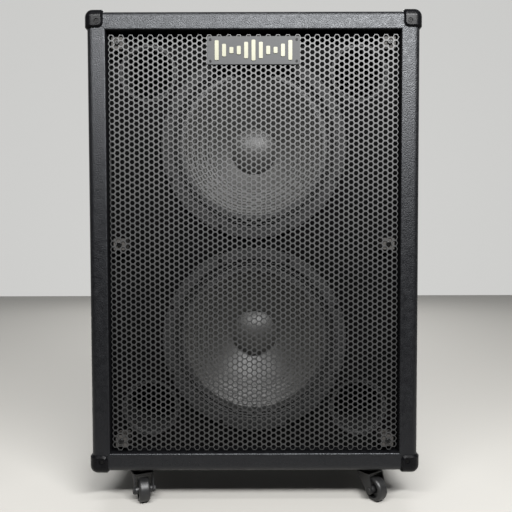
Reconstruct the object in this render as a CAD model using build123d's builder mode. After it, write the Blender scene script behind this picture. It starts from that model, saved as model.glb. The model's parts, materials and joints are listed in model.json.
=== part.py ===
from build123d import *
import math
import os

os.makedirs("parts", exist_ok=True)

# Twin 15-inch subwoofer cabinet on four swivel casters. Millimetres, +Z up, the front faces -Y.
# The origin is on the floor, under the middle of the cabinet.

# ---------- cabinet ----------
cabinet_width = 681
cabinet_height = 950.5
cabinet_depth = 430
floor_gap = 73.5  # from the floor to the cabinet's underside
vinyl = 1  # thickness of the covering
edge_radius = 13  # outer edges, over the covering
panel = 18  # plywood thickness
frame_face = 39  # width of the frame round the front opening
baffle_recess = 38  # from the front plane back to the baffle
rear_recess = 8  # from the rear plane forward to the rear panel
opening_radius = 3  # rounding of the front opening's edge, over the covering
batten = 20
brace = 18
joint_gap = 0.1  # between one rail or batten and the next

# ---------- corner protectors ----------
guard_proud = 4.5
guard_reach = 39.5  # each leg, from the protector's own outer face
guard_radius = 17
guard_leg_radius = 11  # rounding of each leg's inner corner
guard_bevel = 3.5  # on the rim of the legs
guard_screw_inset = 23  # from the cabinet's edges
guard_recess = 2.5  # depth of the dish that holds a screw head
guard_recess_radius = 5
guard_head_radius = 3.8
guard_head_height = 1.8
guard_shank_radius = 1.7
guard_shank_length = 14
cross_width = 1  # of the cross recess in a screw head

# ---------- grille and nameplate ----------
grille_width = 595
grille_height = 859
grille_thickness = 1.5
grille_recess = 6  # from the front plane back to the grille's face
grille_bottom = 44.3  # above the cabinet's underside
spacer = 24
spacer_radius = 2
grille_screw_x = 278.6
grille_screw_heights = (63.6, 475.6, 887.1)  # above the cabinet's underside
grille_head_radius = 5
grille_head_height = 2.8
grille_shank_radius = 2.4
grille_shank_length = 43
grille_head_rounding = 1.6
badge_width = 189.5
badge_height = 56.5
badge_thickness = 2
badge_centre = 870.7  # above the cabinet's underside
badge_radius = 3.5
badge_rivet_inset = 6.5
badge_rivet_radius = 2.6
bar_count = 11
bar_width = 8
bar_pitch = 15
bar_tallest = 42
bar_shortest = 12
bar_relief = 1.2
bar_radius = 2
bar_ripple = 1.15  # radians of the swell from one bar to the next
badge_rivet_height = 0.8

# ---------- woofers ----------
woofer_heights = {"upper": 682.5, "lower": 272.5}  # above the cabinet's underside
flange_radius = 195
gasket_inner_radius = 171
cutout_radius = 176
flange_thickness = 5
gasket_proud = 6  # in front of the flange
cone_outer_radius = 154
coil_inner_radius = 38.3
coil_outer_radius = 39
winding_outer_radius = 39.8
pole_radius = 37.7
plate_bore_radius = 40.4
magnet_radius = 95
plate_radius = 85
dust_cap_radius = 50
bolt_circle_radius = 186
bolt_count = 8
bolt_radius = 2.5
bolt_head_radius = 5
bolt_head_height = 4
spoke_count = 8
cone_travel_gap = 0.3  # between the moving cone and the soft parts that centre it
bolt_hex_radius = 2.4  # socket in each bolt's head
bolt_hex_depth = 3
bolt_start_angle = 22.5
magnet_bore_radius = 55
pole_vent_radius = 12
dust_cap_rise = 18
dust_cap_thickness = 1
basket_wall = 4
basket_back_radius = 88  # where the basket's wall meets its seat
basket_window_near = 122  # from the axis to each window's near edge
basket_window_far = 164
basket_window_depth = 50
gasket_chamfer = 1.5
surround_waves = 3
surround_wave_height = 2.2
spider_waves = 6
spider_wave_height = 2.5
spider_lip = 4
terminal_x = 100
terminal_width = 14
terminal_depth = 16
terminal_height = 20

# ---------- ports ----------
port_inner_radius = 52
port_outer_radius = 55
port_flange_radius = 60
port_length = 130
port_flange = 3  # thickness of its flange
port_flare = 3  # widening of its mouth
port_x = 222
port_heights = (124.5, 834.5)  # above the cabinet's underside

# ---------- casters ----------
caster_plate = 60
caster_plate_radius = 6
caster_plate_thickness = 2.5
caster_screw_spacing = 46
caster_screw_radius = 2.2
caster_screw_length = 14
caster_screw_head_radius = 4
caster_screw_head_height = 2.2
wheel_radius = 25
wheel_width = 24
hub_width = 35
hub_radius = 8
axle_radius = 4
axle_head_radius = 6.2
axle_head_height = 2.4
axle_nut_radius = 6.6
axle_nut_height = 3.6
kingpin_radius = 4
kingpin_head_radius = 8
kingpin_head_height = 3
shaft_clearance = 0.05
race_radius = 22
race_height = 6
race_disc_radius = 19
race_gap = 0.3
fork_trail = 25
fork_leg = 2.5
fork_inner_width = 36
fork_boss_radius = 8.5
fork_crown_bottom = 57
fork_crown_thickness = 3
fork_crown_radius = 25
fork_crown_length = 25  # from the kingpin to the crown's straight edge over the wheel
# each caster: (x, y, angle of its fork; at 0 the wheel trails towards -Y)
casters = {
    "front_left": (-246, -165, 20),
    "front_right": (246, -165, 32),
    "rear_left": (-246, 165, -20),
    "rear_right": (246, 165, 30),
}

# ---------- handles, rear panel, jack plate ----------
handle_height = 604.5  # above the cabinet's underside
handle_width = 150
handle_tall = 90
handle_wall = 4
handle_flange = 13  # rim round the cup
handle_flange_thickness = 3
handle_depth = 45
handle_radius = 12  # of the cup's corners
handle_rim_fillet = 1.5
grip_radius = 10
grip_rise = 20
jack_height = 394.5  # above the cabinet's underside
small_head_radius = 3.4  # screws of the handles and the jack plate
small_head_height = 1.6
small_shank_radius = 1.6
small_shank_length = 16
panel_head_radius = 4.5  # screws of the rear panel
panel_head_height = 2.4
panel_shank_radius = 2
panel_shank_length = 30
panel_screw_inset = 10
jack_plate_width = 130
jack_plate_height = 76
jack_plate_thickness = 2
jack_spacing = 46
jack_bore_radius = 3.2
jack_body_radius = 11
jack_neck_radius = 6
jack_neck_proud = 4  # in front of the plate
jack_nut_radius = 8
jack_nut_height = 2.5
jack_body_length = 32
jack_bore_length = 32
jack_hole_radius = 11.5
jack_screw_inset = 8
jack_plate_radius = 6
cable_radius = 2.5
cable_bend = 18

# ---------- places worked out from the sizes above ----------
front = -cabinet_depth / 2
rear = cabinet_depth / 2
base = floor_gap
top = floor_gap + cabinet_height
middle = floor_gap + cabinet_height / 2
skin_side = cabinet_width / 2
wood_side = skin_side - vinyl
inner_side = wood_side - panel
inner_top = top - vinyl - panel
inner_base = base + vinyl + panel
baffle_front = front + baffle_recess
baffle_back = baffle_front + panel
rear_panel_back = rear - rear_recess
rear_panel_front = rear_panel_back - panel
opening_width = cabinet_width - 2 * frame_face
opening_height = cabinet_height - 2 * frame_face
grille_front = front + grille_recess
grille_back = grille_front + grille_thickness
grille_middle = base + grille_bottom + grille_height / 2
brace_height = middle  # middle of the brace's thickness
handle_z = base + handle_height
jack_z = base + jack_height
midplane = Plane.XY.offset(middle)


def facing_front(y):
    """A sketch plane at that y: its x is +X, its y is +Z, and it faces the front."""
    return Plane.XZ.offset(-y)


def radial_plane(x, z):
    """A sketch plane for turning round an axis along Y through (x, z): its x is the radius."""
    return Plane(origin=(x, 0, z), x_dir=(1, 0, 0), z_dir=(0, 0, 1))


def along_y(x, z):
    """The axis along Y through (x, z)."""
    return Axis((x, 0, z), (0, 1, 0))


def cross(head_radius):
    """The cross recess of a screw head, added to the sketch in hand."""
    length = 1.2 * head_radius
    Rectangle(length, cross_width)
    Rectangle(cross_width, length)


# ==================== fasteners that the wood is bored for ====================
grille_places = []
for side in (-1, 1):
    for height in grille_screw_heights:
        grille_places.append((side * grille_screw_x, base + height))

with BuildPart() as grille_screws:
    with BuildSketch(facing_front(grille_front)):
        with Locations(*grille_places):
            Circle(grille_head_radius)
    extrude(amount=grille_head_height)
    fillet(grille_screws.faces().sort_by(Axis.Y)[0:6].edges(), radius=grille_head_rounding)
    with BuildSketch(facing_front(grille_front - grille_head_height)):
        with Locations(*grille_places):
            cross(grille_head_radius)
    extrude(amount=-grille_head_height / 2, mode=Mode.SUBTRACT)
    with BuildSketch(facing_front(grille_front)):
        with Locations(*grille_places):
            Circle(grille_shank_radius)
    extrude(amount=-grille_shank_length)
grille_screws.part.label = "grille_screws"
export_step(grille_screws.part, "parts/grille_screws.step")

# One corner's three screws, one in each leg, at the front right top corner.
with BuildPart() as guard_screw_trio:
    screw_x = skin_side - guard_screw_inset
    screw_y = front + guard_screw_inset
    screw_z = top - guard_screw_inset
    seat = guard_proud - guard_recess
    seats = (
        Plane(origin=(screw_x, front - seat, screw_z), z_dir=(0, -1, 0)),
        Plane(origin=(skin_side + seat, screw_y, screw_z), z_dir=(1, 0, 0)),
        Plane(origin=(screw_x, screw_y, top + seat), z_dir=(0, 0, 1)),
    )
    for plane in seats:
        with BuildSketch(plane):
            Circle(guard_head_radius)
        extrude(amount=guard_head_height)
        with BuildSketch(plane.offset(guard_head_height)):
            cross(guard_head_radius)
        extrude(amount=-guard_head_height / 2, mode=Mode.SUBTRACT)
        with BuildSketch(plane):
            Circle(guard_shank_radius)
        extrude(amount=-guard_shank_length)

with BuildPart() as corner_screws:
    add(guard_screw_trio.part)
    mirror(about=Plane.YZ)
    mirror(about=Plane.XZ)
    mirror(about=midplane)
corner_screws.part.label = "corner_screws"
export_step(corner_screws.part, "parts/corner_screws.step")

# ==================== casters: plates and screws ====================
caster_places = [(x, y) for x, y, angle in casters.values()]
caster_screw_places = []
for x, y in caster_places:
    for along in (-0.5, 0.5):
        for across in (-0.5, 0.5):
            caster_screw_places.append(
                (x + along * caster_screw_spacing, y + across * caster_screw_spacing)
            )
caster_plate_bottom = base - caster_plate_thickness
race_bottom = caster_plate_bottom - race_height
pin_bottom = fork_crown_bottom - race_gap

with BuildPart() as caster_screws:
    with BuildSketch(Plane.XY.offset(caster_plate_bottom)):
        with Locations(*caster_screw_places):
            Circle(caster_screw_head_radius)
    extrude(amount=-caster_screw_head_height, taper=20)
    with BuildSketch(Plane.XY.offset(caster_plate_bottom - caster_screw_head_height)):
        with Locations(*caster_screw_places):
            cross(caster_screw_head_radius)
    extrude(amount=caster_screw_head_height / 2, mode=Mode.SUBTRACT)
    with BuildSketch(Plane.XY.offset(caster_plate_bottom)):
        with Locations(*caster_screw_places):
            Circle(caster_screw_radius)
    extrude(amount=caster_plate_thickness + caster_screw_length)
caster_screws.part.label = "caster_screws"
export_step(caster_screws.part, "parts/caster_screws.step")

# The plate, the cone of the swivel race below it, and the kingpin with its head.
with BuildPart() as caster_plates:
    with BuildSketch(Plane.XY.offset(caster_plate_bottom)):
        with Locations(*caster_places):
            RectangleRounded(caster_plate, caster_plate, caster_plate_radius)
    extrude(amount=caster_plate_thickness)
    with BuildSketch(Plane.XY.offset(caster_plate_bottom)):
        with Locations(*caster_places):
            Circle(race_radius)
    extrude(amount=-race_height, taper=12)
    with BuildSketch(Plane.XY.offset(race_bottom)):
        with Locations(*caster_places):
            Circle(kingpin_radius)
    extrude(amount=pin_bottom - race_bottom)
    with BuildSketch(Plane.XY.offset(pin_bottom)):
        with Locations(*caster_places):
            Circle(kingpin_head_radius)
    extrude(amount=-kingpin_head_height)
    add(caster_screws.part, mode=Mode.SUBTRACT)
caster_plates.part.label = "caster_plates"
export_step(caster_plates.part, "parts/caster_plates.step")

# ==================== side handles ====================
with BuildPart() as side_handles:
    with BuildSketch(Plane.YZ.offset(skin_side)):
        with Locations((0, handle_z)):
            RectangleRounded(
                handle_width + 2 * handle_flange,
                handle_tall + 2 * handle_flange,
                handle_radius + handle_flange / 2,
            )
    extrude(amount=handle_flange_thickness)
    fillet(side_handles.faces().sort_by(Axis.X)[-1].edges(), radius=handle_rim_fillet)
    with BuildSketch(Plane.YZ.offset(skin_side)):
        with Locations((0, handle_z)):
            RectangleRounded(handle_width, handle_tall, handle_radius)
    extrude(amount=handle_flange_thickness - handle_depth)
    with BuildSketch(Plane.YZ.offset(skin_side + handle_flange_thickness)):
        with Locations((0, handle_z)):
            RectangleRounded(
                handle_width - 2 * handle_wall,
                handle_tall - 2 * handle_wall,
                handle_radius - handle_wall,
            )
    extrude(amount=handle_wall - handle_depth, mode=Mode.SUBTRACT)
    grip_x = skin_side + handle_flange_thickness - grip_radius - 1
    with BuildSketch(Plane.XZ.offset(-handle_width / 2 + handle_wall / 2)):
        with Locations((grip_x, handle_z + grip_rise)):
            Circle(grip_radius)
    extrude(amount=handle_width - handle_wall)
    mirror(about=Plane.YZ)

handle_screw_places = []
for along in (-1, 1):
    for up in (-1, 1):
        handle_screw_places.append(
            (
                along * (handle_width + handle_flange) / 2,
                handle_z + up * (handle_tall + handle_flange) / 2,
            )
        )

handle_face = Plane.YZ.offset(skin_side + handle_flange_thickness)
with BuildPart() as handle_screws:
    with BuildSketch(handle_face):
        with Locations(*handle_screw_places):
            Circle(small_head_radius)
    extrude(amount=small_head_height)
    with BuildSketch(handle_face.offset(small_head_height)):
        with Locations(*handle_screw_places):
            cross(small_head_radius)
    extrude(amount=-small_head_height / 2, mode=Mode.SUBTRACT)
    with BuildSketch(handle_face):
        with Locations(*handle_screw_places):
            Circle(small_shank_radius)
    extrude(amount=-small_shank_length)
    mirror(about=Plane.YZ)
handle_screws.part.label = "handle_screws"
export_step(handle_screws.part, "parts/handle_screws.step")

with BuildPart() as bored_handles:
    add(side_handles.part)
    add(handle_screws.part, mode=Mode.SUBTRACT)
bored_handles.part.label = "side_handles"
export_step(bored_handles.part, "parts/side_handles.step")

# ==================== wooden shell ====================
# The whole wooden outline, with the recess in front of the baffle and the one at the rear.
with BuildPart(midplane) as carcass_outline:
    Box(2 * wood_side, cabinet_depth - 2 * vinyl, cabinet_height - 2 * vinyl)
    fillet(carcass_outline.edges(), radius=edge_radius - vinyl)

with BuildPart() as carcass:
    add(carcass_outline.part)
    with BuildSketch(facing_front(baffle_front)):
        with Locations((0, middle)):
            Rectangle(opening_width + 2 * vinyl, opening_height + 2 * vinyl)
    extrude(amount=baffle_recess, mode=Mode.SUBTRACT)
    fillet(
        carcass.faces().sort_by(Axis.Y)[0].inner_wires()[0].edges(),
        radius=opening_radius - vinyl,
    )
    with BuildSketch(facing_front(rear_panel_back)):
        with Locations((0, middle)):
            Rectangle(2 * inner_side, inner_top - inner_base)
    extrude(amount=-rear_recess, mode=Mode.SUBTRACT)


def shell_piece(name, low, high):
    """The part of the carcass between two corners, bored for the fasteners that reach it."""
    size = [high[i] - low[i] for i in range(3)]
    centre = [(high[i] + low[i]) / 2 for i in range(3)]
    with BuildPart() as piece:
        add(carcass.part)
        with Locations(tuple(centre)):
            Box(*size, mode=Mode.INTERSECT)
        add(corner_screws.part, mode=Mode.SUBTRACT)
    piece.part.label = name
    return piece.part


top_part = shell_piece(
    "top_panel",
    (-skin_side, front, inner_top),
    (skin_side, rear, top),
)
export_step(top_part, "parts/top_panel.step")

bottom_part = shell_piece(
    "bottom_panel",
    (-skin_side, front, base),
    (skin_side, rear, inner_base),
)
with BuildPart() as bottom_panel:
    add(bottom_part)
    add(caster_screws.part, mode=Mode.SUBTRACT)
bottom_panel.part.label = "bottom_panel"
export_step(bottom_panel.part, "parts/bottom_panel.step")

for side_name, side in (("left", -1), ("right", 1)):
    side_edges = sorted((side * inner_side, side * skin_side))
    side_part = shell_piece(
        side_name + "_side_panel",
        (side_edges[0], front, inner_base),
        (side_edges[1], rear, inner_top),
    )
    with BuildPart() as side_panel:
        add(side_part)
        with BuildSketch(Plane.YZ.offset(-skin_side)):
            with Locations((0, handle_z)):
                RectangleRounded(handle_width, handle_tall, handle_radius)
        extrude(amount=cabinet_width, mode=Mode.SUBTRACT)
        add(handle_screws.part, mode=Mode.SUBTRACT)
    side_panel.part.label = side_name + "_side_panel"
    export_step(side_panel.part, f"parts/{side_name}_side_panel.step")

# Four rails inside the front edges of the panels carry the frame's face.
rail = frame_face - panel - 2 * vinyl
side_rail_height = inner_top - inner_base - 2 * rail - 2 * joint_gap
rail_y = (front + baffle_front) / 2
with BuildPart() as rail_blanks:
    with Locations((0, rail_y, inner_top - rail / 2), (0, rail_y, inner_base + rail / 2)):
        Box(2 * inner_side, baffle_recess, rail)
    with Locations((inner_side - rail / 2, rail_y, middle), (rail / 2 - inner_side, rail_y, middle)):
        Box(rail, baffle_recess, side_rail_height)

with BuildPart() as front_rails:
    add(carcass.part)
    add(rail_blanks.part, mode=Mode.INTERSECT)
    add(corner_screws.part, mode=Mode.SUBTRACT)
front_rails.part.label = "front_rails"
export_step(front_rails.part, "parts/front_rails.step")

# ==================== corner protectors ====================
with BuildPart(midplane) as guard_outline:
    Box(
        cabinet_width + 2 * guard_proud,
        cabinet_depth + 2 * guard_proud,
        cabinet_height + 2 * guard_proud,
    )
    fillet(guard_outline.edges(), radius=guard_radius)

guard_right = skin_side + guard_proud
guard_front = front - guard_proud
guard_top = top + guard_proud
guard_middle = (
    guard_right - guard_reach / 2,
    guard_front + guard_reach / 2,
    guard_top - guard_reach / 2,
)


def reach_of(edge):
    """How far an edge's middle lies from the guard's three outer faces, nearest first."""
    at = edge.center()
    return sorted((guard_right - at.X, at.Y - guard_front, guard_top - at.Z))


# The block that limits one protector: its inner edges give the legs their rounded corners.
with BuildPart() as guard_block:
    with Locations(guard_middle):
        Box(guard_reach, guard_reach, guard_reach)
    inner_edges = [edge for edge in guard_block.edges() if reach_of(edge)[1] > guard_reach / 2]
    fillet(inner_edges, radius=guard_leg_radius)

# One protector before it is drilled, and all eight, which the covering is notched for.
with BuildPart() as guard_blank:
    add(guard_outline.part)
    add(guard_block.part, mode=Mode.INTERSECT)
    rim_edges = []
    for edge in guard_blank.edges():
        reaches = reach_of(edge)
        if reaches[0] < guard_radius / 2 and reaches[-1] > 0.9 * guard_reach:
            rim_edges.append(edge)
    chamfer(rim_edges, length=guard_bevel)
    add(carcass_outline.part, mode=Mode.SUBTRACT)

with BuildPart() as guard_blanks:
    add(guard_blank.part)
    mirror(about=Plane.YZ)
    mirror(about=Plane.XZ)
    mirror(about=midplane)

with BuildPart() as one_guard:
    add(guard_blank.part)
    for plane in seats:
        with BuildSketch(plane):
            Circle(guard_recess_radius)
        extrude(amount=2 * guard_recess, mode=Mode.SUBTRACT)
    add(guard_screw_trio.part, mode=Mode.SUBTRACT)

with BuildPart() as corner_protectors_front:
    add(one_guard.part)
    mirror(about=Plane.YZ)
    mirror(about=midplane)
corner_protectors_front.part.label = "corner_protectors_front"
export_step(corner_protectors_front.part, "parts/corner_protectors_front.step")

with BuildPart() as corner_protectors_rear:
    mirror(corner_protectors_front.part, about=Plane.XZ)
corner_protectors_rear.part.label = "corner_protectors_rear"
export_step(corner_protectors_rear.part, "parts/corner_protectors_rear.step")

# ==================== vinyl covering ====================
with BuildPart(midplane) as covering_outline:
    Box(cabinet_width, cabinet_depth, cabinet_height)
    fillet(covering_outline.edges(), radius=edge_radius)

with BuildPart() as vinyl_covering:
    add(covering_outline.part)
    with BuildSketch(facing_front(baffle_front)):
        with Locations((0, middle)):
            Rectangle(opening_width, opening_height)
    extrude(amount=baffle_recess, mode=Mode.SUBTRACT)
    fillet(
        vinyl_covering.faces().sort_by(Axis.Y)[0].inner_wires()[0].edges(),
        radius=opening_radius,
    )
    with BuildSketch(facing_front(rear_panel_back)):
        with Locations((0, middle)):
            Rectangle(2 * (inner_side - vinyl), inner_top - inner_base - 2 * vinyl)
    extrude(amount=-rear_recess, mode=Mode.SUBTRACT)
    add(carcass.part, mode=Mode.SUBTRACT)
    with BuildSketch(Plane.YZ.offset(-skin_side)):
        with Locations((0, handle_z)):
            RectangleRounded(handle_width, handle_tall, handle_radius)
    extrude(amount=cabinet_width, mode=Mode.SUBTRACT)
    add(guard_blanks.part, mode=Mode.SUBTRACT)
    add(corner_screws.part, mode=Mode.SUBTRACT)
    add(handle_screws.part, mode=Mode.SUBTRACT)
    add(caster_screws.part, mode=Mode.SUBTRACT)
vinyl_covering.part.label = "vinyl_covering"
export_step(vinyl_covering.part, "parts/vinyl_covering.step")

# ==================== baffle ====================
port_places = []
for side in (-1, 1):
    for height in port_heights:
        port_places.append((side * port_x, base + height))
woofer_places = [(0, base + height) for height in woofer_heights.values()]

with BuildPart() as front_baffle:
    with BuildSketch(facing_front(baffle_front)):
        with Locations((0, middle)):
            Rectangle(2 * inner_side, inner_top - inner_base)
        with Locations(*woofer_places):
            Circle(cutout_radius, mode=Mode.SUBTRACT)
        with Locations(*woofer_places):
            with PolarLocations(bolt_circle_radius, bolt_count, start_angle=bolt_start_angle):
                Circle(bolt_radius, mode=Mode.SUBTRACT)
        with Locations(*port_places):
            Circle(port_outer_radius, mode=Mode.SUBTRACT)
    extrude(amount=-panel)
    add(grille_screws.part, mode=Mode.SUBTRACT)
front_baffle.part.label = "front_baffle"
export_step(front_baffle.part, "parts/front_baffle.step")

# ==================== grille, spacers, nameplate ====================
rivet_places = []
for side in (-1, 1):
    for up in (-1, 1):
        rivet_places.append(
            (
                side * (badge_width / 2 - badge_rivet_inset),
                base + badge_centre + up * (badge_height / 2 - badge_rivet_inset),
            )
        )

with BuildPart() as badge_rivets:
    with BuildSketch(facing_front(grille_front - badge_thickness)):
        with Locations(*rivet_places):
            Circle(badge_rivet_radius)
    extrude(amount=badge_rivet_height)
    with BuildSketch(facing_front(grille_front - badge_thickness)):
        with Locations(*rivet_places):
            Circle(badge_rivet_radius / 2)
    extrude(amount=-(badge_thickness + grille_thickness))
badge_rivets.part.label = "badge_rivets"
export_step(badge_rivets.part, "parts/badge_rivets.step")

with BuildPart() as badge_plate:
    with BuildSketch(facing_front(grille_front)):
        with Locations((0, base + badge_centre)):
            RectangleRounded(badge_width, badge_height, badge_radius)
    extrude(amount=badge_thickness)
    add(badge_rivets.part, mode=Mode.SUBTRACT)
badge_plate.part.label = "badge_plate"
export_step(badge_plate.part, "parts/badge_plate.step")

# A row of rounded bars, tallest in the middle, like a level meter.
with BuildPart() as badge_bars:
    with BuildSketch(facing_front(grille_front - badge_thickness)):
        for index in range(bar_count):
            across = index - (bar_count - 1) / 2
            swell = (1 + math.cos(across * bar_ripple)) / 2
            bar_height = bar_shortest + (bar_tallest - bar_shortest) * swell
            with Locations((across * bar_pitch, base + badge_centre)):
                RectangleRounded(bar_width, bar_height, bar_radius)
    extrude(amount=bar_relief)
badge_bars.part.label = "badge_bars"
export_step(badge_bars.part, "parts/badge_bars.step")

with BuildPart() as grille:
    with BuildSketch(facing_front(grille_front)):
        with Locations((0, grille_middle)):
            Rectangle(grille_width, grille_height)
    extrude(amount=-grille_thickness)
    add(grille_screws.part, mode=Mode.SUBTRACT)
    add(badge_rivets.part, mode=Mode.SUBTRACT)
grille.part.label = "grille"
export_step(grille.part, "parts/grille.step")

with BuildPart() as grille_spacers:
    with BuildSketch(facing_front(grille_back)):
        with Locations(*grille_places):
            RectangleRounded(spacer, spacer, spacer_radius)
            Circle(grille_shank_radius, mode=Mode.SUBTRACT)
    extrude(amount=grille_back - baffle_front)
grille_spacers.part.label = "grille_spacers"
export_step(grille_spacers.part, "parts/grille_spacers.step")

# ==================== ports ====================
port_front = baffle_front - port_flange
with BuildPart() as port_tubes:
    for x, z in port_places:
        with BuildSketch(radial_plane(x, z)):
            with BuildLine():
                Polyline(
                    (port_outer_radius, baffle_front),
                    (port_flange_radius, baffle_front),
                    (port_flange_radius, port_front),
                    (port_inner_radius + port_flare, port_front),
                    (port_inner_radius, port_front + port_flare),
                    (port_inner_radius, port_front + port_length),
                    (port_outer_radius, port_front + port_length),
                    close=True,
                )
            make_face()
        revolve(axis=along_y(x, z))
port_tubes.part.label = "port_tubes"
export_step(port_tubes.part, "parts/port_tubes.step")

# ==================== woofers ====================
flange_front = baffle_front - flange_thickness
gasket_front = flange_front - gasket_proud
soft_thickness = 1  # of the surround and the spider
gasket_overlap = 9  # width of the surround's lip under the gasket
neck_y = baffle_front + 71  # where the cone meets the voice coil's former
cone_rim_y = flange_front + cone_travel_gap
cone_rim_width = 8
cone_thickness = 1.4
cone_bend_radius = 90  # the cone is slightly steeper inside this radius
cone_bend_y = neck_y - 34.5
top_plate_front = baffle_front + 105
top_plate_back = top_plate_front + 8
magnet_back = top_plate_back + 24
back_plate_back = magnet_back + 8
spider_y = baffle_front + 79
spider_outer_radius = 106
ledge_inner_radius = 96.5  # the ring that the spider is glued to


def turned(name, centre_z, outline):
    """A solid of revolution about a woofer's axis, from (radius, y) points."""
    with BuildPart() as piece:
        with BuildSketch(radial_plane(0, centre_z)):
            with BuildLine():
                Polyline(*outline, close=True)
            make_face()
        revolve(axis=along_y(0, centre_z))
    piece.part.label = name
    return piece.part


def corrugated(inner, outer, lips, y, waves, height):
    """A ring's cross-section, 1 thick: a flat lip at each edge and waves between the lips."""
    steps = waves * 4
    inner_lip, outer_lip = lips
    front_points = [(inner, y)]
    for step in range(steps + 1):
        share = step / steps
        radius = inner + inner_lip + share * (outer - inner - inner_lip - outer_lip)
        front_points.append((radius, y - height * math.sin(share * waves * 2 * math.pi)))
    front_points.append((outer, y))
    back_points = [(radius, at + soft_thickness) for radius, at in reversed(front_points)]
    return front_points + back_points


def basket_for(name, centre_z):
    """The pressed-steel frame: flange, collar, conical wall with windows, spider ledge, seat."""
    wall_front = baffle_front + 27
    seat_front = top_plate_front - basket_wall
    ledge_back = spider_y + 5
    outer_wall_radius = gasket_inner_radius + basket_wall
    with BuildPart() as basket:
        add(
            turned(
                name,
                centre_z,
                [
                    (gasket_inner_radius, flange_front),
                    (flange_radius, flange_front),
                    (flange_radius, baffle_front),
                    (outer_wall_radius, baffle_front),
                    (outer_wall_radius, wall_front),
                    (basket_back_radius, top_plate_front),
                    (plate_bore_radius + 1, top_plate_front),
                    (plate_bore_radius + 1, seat_front),
                    (basket_back_radius - 3, seat_front),
                    (basket_back_radius + 20, ledge_back),
                    (ledge_inner_radius, ledge_back),
                    (ledge_inner_radius, spider_y + soft_thickness),
                    (basket_back_radius + 25, spider_y + soft_thickness),
                    (gasket_inner_radius, wall_front - 2),
                ],
            )
        )
        with BuildSketch(Plane(origin=(0, wall_front - 3, centre_z), z_dir=(0, -1, 0))):
            with PolarLocations(0, spoke_count):
                Polygon(
                    (basket_window_near, -0.3 * basket_window_near),
                    (basket_window_far, -0.3 * basket_window_far),
                    (basket_window_far, 0.3 * basket_window_far),
                    (basket_window_near, 0.3 * basket_window_near),
                    align=None,
                )
        extrude(amount=-basket_window_depth, mode=Mode.SUBTRACT)
        with BuildSketch(Plane(origin=(0, flange_front, centre_z), z_dir=(0, -1, 0))):
            with PolarLocations(bolt_circle_radius, bolt_count, start_angle=bolt_start_angle):
                Circle(bolt_radius)
        extrude(amount=-flange_thickness, mode=Mode.SUBTRACT)
    basket.part.label = name
    return basket.part


def gasket_for(name, centre_z):
    """The ring that clamps the surround's outer lip to the flange."""
    with BuildPart() as gasket:
        add(
            turned(
                name,
                centre_z,
                [
                    (gasket_inner_radius, flange_front - soft_thickness),
                    (gasket_inner_radius, gasket_front + gasket_chamfer),
                    (gasket_inner_radius + gasket_chamfer, gasket_front),
                    (flange_radius - gasket_chamfer, gasket_front),
                    (flange_radius, gasket_front + gasket_chamfer),
                    (flange_radius, flange_front),
                    (gasket_inner_radius + gasket_overlap, flange_front),
                    (gasket_inner_radius + gasket_overlap, flange_front - soft_thickness),
                ],
            )
        )
        with BuildSketch(Plane(origin=(0, gasket_front, centre_z), z_dir=(0, -1, 0))):
            with PolarLocations(bolt_circle_radius, bolt_count, start_angle=bolt_start_angle):
                Circle(bolt_radius)
        extrude(amount=-gasket_proud, mode=Mode.SUBTRACT)
    gasket.part.label = name
    return gasket.part


def surround_outline():
    """Three rolls between a lip in front of the cone's rim and a lip under the gasket."""
    return corrugated(
        cone_outer_radius - cone_rim_width,
        gasket_inner_radius + gasket_overlap,
        (cone_rim_width + cone_travel_gap, gasket_overlap + cone_travel_gap),
        flange_front - soft_thickness,
        surround_waves,
        surround_wave_height,
    )


def cone_outline():
    """A paper cone with a flat rim behind the surround's lip."""
    rim_inner = cone_outer_radius - cone_rim_width
    return [
        (coil_outer_radius, neck_y),
        (coil_outer_radius, neck_y - 1.6 * cone_thickness),
        (cone_bend_radius, cone_bend_y),
        (rim_inner, cone_rim_y),
        (cone_outer_radius, cone_rim_y),
        (cone_outer_radius, cone_rim_y + cone_thickness),
        (rim_inner + 1, cone_rim_y + cone_thickness),
        (cone_bend_radius, cone_bend_y + 1.4 * cone_thickness),
    ]


def dust_cap_for(name, centre_z):
    """A domed cap over the voice coil, standing on the cone."""
    share = (dust_cap_radius - coil_outer_radius) / (cone_bend_radius - coil_outer_radius)
    cone_front_at_neck = neck_y - 1.6 * cone_thickness
    rim_y = cone_front_at_neck + share * (cone_bend_y - cone_front_at_neck)
    rim = (dust_cap_radius, rim_y)
    far_rim = (-dust_cap_radius, rim_y)
    inner_rim = (dust_cap_radius - dust_cap_thickness, rim_y)
    far_inner_rim = (dust_cap_thickness - dust_cap_radius, rim_y)
    with BuildPart() as dust_cap:
        with BuildSketch(radial_plane(0, centre_z)):
            with BuildLine():
                outer_arc = SagittaArc(rim, far_rim, dust_cap_rise)
                inner_arc = SagittaArc(inner_rim, far_inner_rim, dust_cap_rise - dust_cap_thickness)
                Line(outer_arc @ 0, inner_arc @ 0)
                Line(outer_arc @ 1, inner_arc @ 1)
            make_face()
            with Locations((-dust_cap_radius, rim_y)):
                Rectangle(2 * dust_cap_radius, 4 * dust_cap_rise, mode=Mode.SUBTRACT)
        revolve(axis=along_y(0, centre_z))
    dust_cap.part.label = name
    return dust_cap.part


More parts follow.
